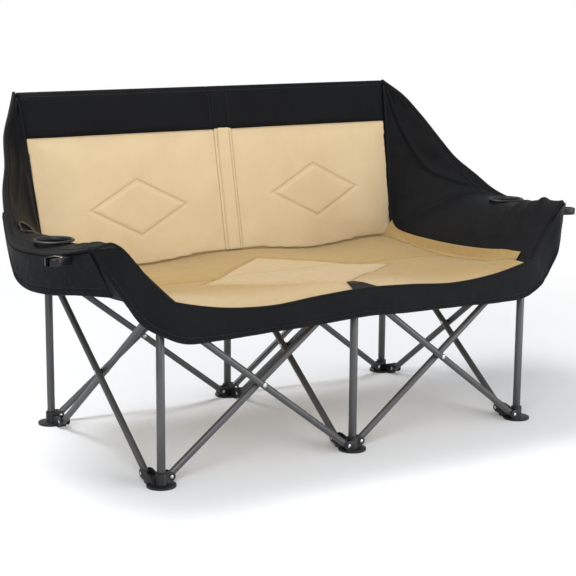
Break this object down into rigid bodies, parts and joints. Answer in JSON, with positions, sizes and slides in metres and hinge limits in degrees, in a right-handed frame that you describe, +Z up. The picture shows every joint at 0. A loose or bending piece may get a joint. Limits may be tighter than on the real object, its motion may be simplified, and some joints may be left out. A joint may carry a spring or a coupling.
{
  "type": "folding camping loveseat",
  "caption": "Wide folding camp chair on scissor-crossed tubes with telescoping legs, padded sling seat and back, and winged fabric arms with cup and glass holders.",
  "frame": {"origin": "centre of the outline in plan, on the floor", "axes": "+X to the right as seen from the front, +Y to the back, +Z up"},
  "size_m": [1.481, 0.7128, 0.8166],
  "materials": {
    "black_plastic": "fine grained moulding",
    "powder_coated_steel": "satin grey powder coat",
    "rivet_steel": "plated",
    "back_fabric": "padded woven polyester, tan panels under a black band",
    "seat_fabric": "padded woven polyester, tan",
    "black_fabric": "woven polyester, black"
  },
  "bodies": {
    "front_left_leg": {"foot_front_left": "black_plastic", "leg_front_left": "powder_coated_steel"},
    "front_left_hub": {"hub_front_left": "black_plastic", "post_front_left": "powder_coated_steel"},
    "front_middle_leg": {"foot_front_middle": "black_plastic", "leg_front_middle": "powder_coated_steel"},
    "front_middle_hub": {"hub_front_middle": "black_plastic", "post_front_middle": "powder_coated_steel", "front_valance": "black_fabric", "seat_tab": "black_fabric"},
    "front_right_leg": {"foot_front_right": "black_plastic", "leg_front_right": "powder_coated_steel"},
    "front_right_hub": {"hub_front_right": "black_plastic", "post_front_right": "powder_coated_steel"},
    "back_left_leg": {"foot_back_left": "black_plastic", "leg_back_left": "powder_coated_steel"},
    "back_left_hub": {"hub_back_left": "black_plastic", "post_back_left": "powder_coated_steel"},
    "back_middle_leg": {"foot_back_middle": "black_plastic", "leg_back_middle": "powder_coated_steel"},
    "back_middle_hub": {"hub_back_middle": "black_plastic", "post_back_middle": "powder_coated_steel", "backrest": "back_fabric"},
    "back_right_leg": {"foot_back_right": "black_plastic", "leg_back_right": "powder_coated_steel"},
    "back_right_hub": {"hub_back_right": "black_plastic", "post_back_right": "powder_coated_steel"},
    "left_tube_to_front": {"tube_left_to_front": "powder_coated_steel", "rivet_left": "rivet_steel"},
    "left_tube_to_back": {"tube_left_to_back": "powder_coated_steel"},
    "middle_tube_to_front": {"tube_middle_to_front": "powder_coated_steel", "rivet_middle": "rivet_steel"},
    "middle_tube_to_back": {"tube_middle_to_back": "powder_coated_steel"},
    "right_tube_to_front": {"tube_right_to_front": "powder_coated_steel", "rivet_right": "rivet_steel"},
    "right_tube_to_back": {"tube_right_to_back": "powder_coated_steel"},
    "back_left_outward_tube": {"tube_back_left_outward": "powder_coated_steel", "rivet_back_left": "rivet_steel"},
    "back_left_inward_tube": {"tube_back_left_inward": "powder_coated_steel"},
    "front_left_arm_tube": {"tube_front_left_arm": "powder_coated_steel", "rivet_front_left": "rivet_steel"},
    "left_arm": {"arm_left": "black_fabric", "skirt_left": "black_fabric"},
    "left_cup_holder": {"cup_ring_left": "black_plastic", "cup_pouch_left": "black_fabric"},
    "left_glass_holder": {"glass_holder_left": "black_plastic"},
    "front_left_cross_tube": {"tube_front_left_cross": "powder_coated_steel"},
    "back_right_outward_tube": {"tube_back_right_outward": "powder_coated_steel", "rivet_back_right": "rivet_steel"},
    "back_right_inward_tube": {"tube_back_right_inward": "powder_coated_steel"},
    "front_right_arm_tube": {"tube_front_right_arm": "powder_coated_steel", "rivet_front_right": "rivet_steel"},
    "right_arm": {"arm_right": "black_fabric", "skirt_right": "black_fabric"},
    "right_cup_holder": {"cup_ring_right": "black_plastic", "cup_pouch_right": "black_fabric"},
    "right_glass_holder": {"glass_holder_right": "black_plastic"},
    "front_right_cross_tube": {"tube_front_right_cross": "powder_coated_steel"},
    "seat_rear_half": {"seat_rear": "seat_fabric"},
    "seat_front_half": {"seat_front": "seat_fabric"}
  },
  "joints": [
    {"name": "fold", "type": "hinge", "parent": "back_middle_leg", "child": "back_left_outward_tube", "pos_m": [-0.024, 0.2549, 0.018], "axis": [0, 1, 0], "range_deg": [0, 47.02], "deforming": ["backrest", "seat_front", "seat_rear", "arm_left", "arm_right", "skirt_left", "skirt_right", "front_valance", "cup_pouch_left", "cup_pouch_right"]},
    {"name": "back_left_cross", "type": "hinge", "parent": "back_left_outward_tube", "child": "back_left_inward_tube", "pos_m": [-0.255, 0.2639, 0.195], "axis": [0, 1, 0], "range_deg": [-94.05, 0]},
    {"name": "back_left_foot_pivot", "type": "hinge", "parent": "back_left_inward_tube", "child": "back_left_leg", "pos_m": [-0.486, 0.2729, 0.018], "axis": [0, 1, 0], "range_deg": [0, 47.03]},
    {"name": "back_left_hub_pivot", "type": "hinge", "parent": "back_left_outward_tube", "child": "back_left_hub", "pos_m": [-0.486, 0.2549, 0.372], "axis": [0, 1, 0], "range_deg": [-47.03, 0]},
    {"name": "back_middle_hub_pivot", "type": "hinge", "parent": "back_left_inward_tube", "child": "back_middle_hub", "pos_m": [-0.024, 0.2729, 0.372], "axis": [0, 1, 0], "range_deg": [0, 47.03]},
    {"name": "back_right_lean", "type": "hinge", "parent": "back_middle_leg", "child": "back_right_outward_tube", "pos_m": [0.024, 0.2729, 0.018], "axis": [0, 1, 0], "range_deg": [-47.03, 0]},
    {"name": "back_right_cross", "type": "hinge", "parent": "back_right_outward_tube", "child": "back_right_inward_tube", "pos_m": [0.255, 0.2639, 0.195], "axis": [0, 1, 0], "range_deg": [0, 94.05]},
    {"name": "back_right_foot_pivot", "type": "hinge", "parent": "back_right_inward_tube", "child": "back_right_leg", "pos_m": [0.486, 0.2549, 0.018], "axis": [0, 1, 0], "range_deg": [-47.03, 0]},
    {"name": "back_right_hub_pivot", "type": "hinge", "parent": "back_right_outward_tube", "child": "back_right_hub", "pos_m": [0.486, 0.2729, 0.372], "axis": [0, 1, 0], "range_deg": [0, 47.03]},
    {"name": "left_column_lean", "type": "hinge", "parent": "back_left_leg", "child": "left_tube_to_front", "pos_m": [-0.501, 0.2099, 0.018], "axis": [1, 0, 0], "range_deg": [-47.03, 0]},
    {"name": "left_column_cross", "type": "hinge", "parent": "left_tube_to_front", "child": "left_tube_to_back", "pos_m": [-0.51, -0.0211, 0.195], "axis": [1, 0, 0], "range_deg": [0, 94.05]},
    {"name": "front_left_foot_pivot", "type": "hinge", "parent": "left_tube_to_back", "child": "front_left_leg", "pos_m": [-0.519, -0.2521, 0.018], "axis": [1, 0, 0], "range_deg": [-47.03, 0]},
    {"name": "front_left_hub_pivot", "type": "hinge", "parent": "left_tube_to_front", "child": "front_left_hub", "pos_m": [-0.501, -0.2521, 0.372], "axis": [1, 0, 0], "range_deg": [0, 47.03]},
    {"name": "middle_column_lean", "type": "hinge", "parent": "back_middle_leg", "child": "middle_tube_to_front", "pos_m": [0.009, 0.2099, 0.018], "axis": [1, 0, 0], "range_deg": [-47.03, 0]},
    {"name": "middle_column_cross", "type": "hinge", "parent": "middle_tube_to_front", "child": "middle_tube_to_back", "pos_m": [0, -0.0211, 0.195], "axis": [1, 0, 0], "range_deg": [0, 94.05]},
    {"name": "front_middle_foot_pivot", "type": "hinge", "parent": "middle_tube_to_back", "child": "front_middle_leg", "pos_m": [-0.009, -0.2521, 0.018], "axis": [1, 0, 0], "range_deg": [-47.03, 0]},
    {"name": "front_middle_hub_pivot", "type": "hinge", "parent": "middle_tube_to_front", "child": "front_middle_hub", "pos_m": [0.009, -0.2521, 0.372], "axis": [1, 0, 0], "range_deg": [0, 47.03]},
    {"name": "right_column_lean", "type": "hinge", "parent": "back_right_leg", "child": "right_tube_to_front", "pos_m": [0.519, 0.2099, 0.018], "axis": [1, 0, 0], "range_deg": [-47.03, 0]},
    {"name": "right_column_cross", "type": "hinge", "parent": "right_tube_to_front", "child": "right_tube_to_back", "pos_m": [0.51, -0.0211, 0.195], "axis": [1, 0, 0], "range_deg": [0, 94.05]},
    {"name": "front_right_foot_pivot", "type": "hinge", "parent": "right_tube_to_back", "child": "front_right_leg", "pos_m": [0.501, -0.2521, 0.018], "axis": [1, 0, 0], "range_deg": [-47.03, 0]},
    {"name": "front_right_hub_pivot", "type": "hinge", "parent": "right_tube_to_front", "child": "front_right_hub", "pos_m": [0.519, -0.2521, 0.372], "axis": [1, 0, 0], "range_deg": [0, 47.03]},
    {"name": "left_arm_lean", "type": "hinge", "parent": "front_middle_leg", "child": "front_left_arm_tube", "pos_m": [-0.024, -0.3151, 0.018], "axis": [0, 1, 0], "range_deg": [0, 47.03]},
    {"name": "front_left_cross", "type": "hinge", "parent": "front_left_arm_tube", "child": "front_left_cross_tube", "pos_m": [-0.255, -0.3061, 0.195], "axis": [0, 1, 0], "range_deg": [-94.05, 0]},
    {"name": "right_arm_lean", "type": "hinge", "parent": "front_middle_leg", "child": "front_right_arm_tube", "pos_m": [0.024, -0.2971, 0.018], "axis": [0, 1, 0], "range_deg": [-47.03, 0]},
    {"name": "front_right_cross", "type": "hinge", "parent": "front_right_arm_tube", "child": "front_right_cross_tube", "pos_m": [0.255, -0.3061, 0.195], "axis": [0, 1, 0], "range_deg": [0, 94.05]},
    {"name": "left_arm_fold", "type": "hinge", "parent": "back_left_hub", "child": "left_arm", "pos_m": [-0.553, 0.3489, 0.813], "axis": [0.1076, -0.5346, -0.8382], "range_deg": [-70.01, 0]},
    {"name": "left_cup_shift", "type": "slide", "parent": "left_arm", "child": "left_cup_holder", "axis": [0, 1, 0], "range_m": [0, 0.26676]},
    {"name": "left_glass_shift", "type": "slide", "parent": "left_arm", "child": "left_glass_holder", "axis": [0, 1, 0], "range_m": [0, 0.36145]},
    {"name": "right_arm_fold", "type": "hinge", "parent": "back_right_hub", "child": "right_arm", "pos_m": [0.553, 0.3489, 0.813], "axis": [-0.1076, -0.5346, -0.8382], "range_deg": [0, 70.01]},
    {"name": "right_cup_shift", "type": "slide", "parent": "right_arm", "child": "right_cup_holder", "axis": [0, 1, 0], "range_m": [0, 0.26676]},
    {"name": "right_glass_shift", "type": "slide", "parent": "right_arm", "child": "right_glass_holder", "axis": [0, 1, 0], "range_m": [0, 0.36145]},
    {"name": "seat_rear_fold", "type": "hinge", "parent": "back_middle_hub", "child": "seat_rear_half", "pos_m": [0, 0.2499, 0.3855], "axis": [-1, 0, 0], "range_deg": [0, 77.31]},
    {"name": "seat_seam_fold", "type": "hinge", "parent": "seat_rear_half", "child": "seat_front_half", "pos_m": [0, -0.0211, 0.38], "axis": [-1, 0, 0], "range_deg": [-140.91, 0]}
  ],
  "couplings": [
    {"joint": "back_left_cross", "follows": "fold", "ratio": -2},
    {"joint": "back_left_foot_pivot", "follows": "fold", "ratio": 1},
    {"joint": "back_left_hub_pivot", "follows": "fold", "ratio": -1},
    {"joint": "back_middle_hub_pivot", "follows": "fold", "ratio": 1},
    {"joint": "back_right_lean", "follows": "fold", "ratio": -1},
    {"joint": "back_right_cross", "follows": "fold", "ratio": 2},
    {"joint": "back_right_foot_pivot", "follows": "fold", "ratio": -1},
    {"joint": "back_right_hub_pivot", "follows": "fold", "ratio": 1},
    {"joint": "left_column_lean", "follows": "fold", "ratio": -1},
    {"joint": "left_column_cross", "follows": "fold", "ratio": 2},
    {"joint": "front_left_foot_pivot", "follows": "fold", "ratio": -1},
    {"joint": "front_left_hub_pivot", "follows": "fold", "ratio": 1},
    {"joint": "middle_column_lean", "follows": "fold", "ratio": -1},
    {"joint": "middle_column_cross", "follows": "fold", "ratio": 2},
    {"joint": "front_middle_foot_pivot", "follows": "fold", "ratio": -1},
    {"joint": "front_middle_hub_pivot", "follows": "fold", "ratio": 1},
    {"joint": "right_column_lean", "follows": "fold", "ratio": -1},
    {"joint": "right_column_cross", "follows": "fold", "ratio": 2},
    {"joint": "front_right_foot_pivot", "follows": "fold", "ratio": -1},
    {"joint": "front_right_hub_pivot", "follows": "fold", "ratio": 1},
    {"joint": "left_arm_lean", "follows": "fold", "ratio": 1},
    {"joint": "front_left_cross", "follows": "fold", "ratio": -2},
    {"joint": "right_arm_lean", "follows": "fold", "ratio": -1},
    {"joint": "front_right_cross", "follows": "fold", "ratio": 2},
    {"joint": "left_arm_fold", "follows": "fold", "ratio": -1.4887},
    {"joint": "left_cup_shift", "follows": "fold", "m_per_rad": 0.32481},
    {"joint": "left_glass_shift", "follows": "fold", "m_per_rad": 0.4402},
    {"joint": "right_arm_fold", "follows": "fold", "ratio": 1.4887},
    {"joint": "right_cup_shift", "follows": "fold", "m_per_rad": 0.32481},
    {"joint": "right_glass_shift", "follows": "fold", "m_per_rad": 0.4402},
    {"joint": "seat_rear_fold", "follows": "fold", "ratio": 1.644},
    {"joint": "seat_seam_fold", "follows": "fold", "ratio": -2.9966}
  ]
}
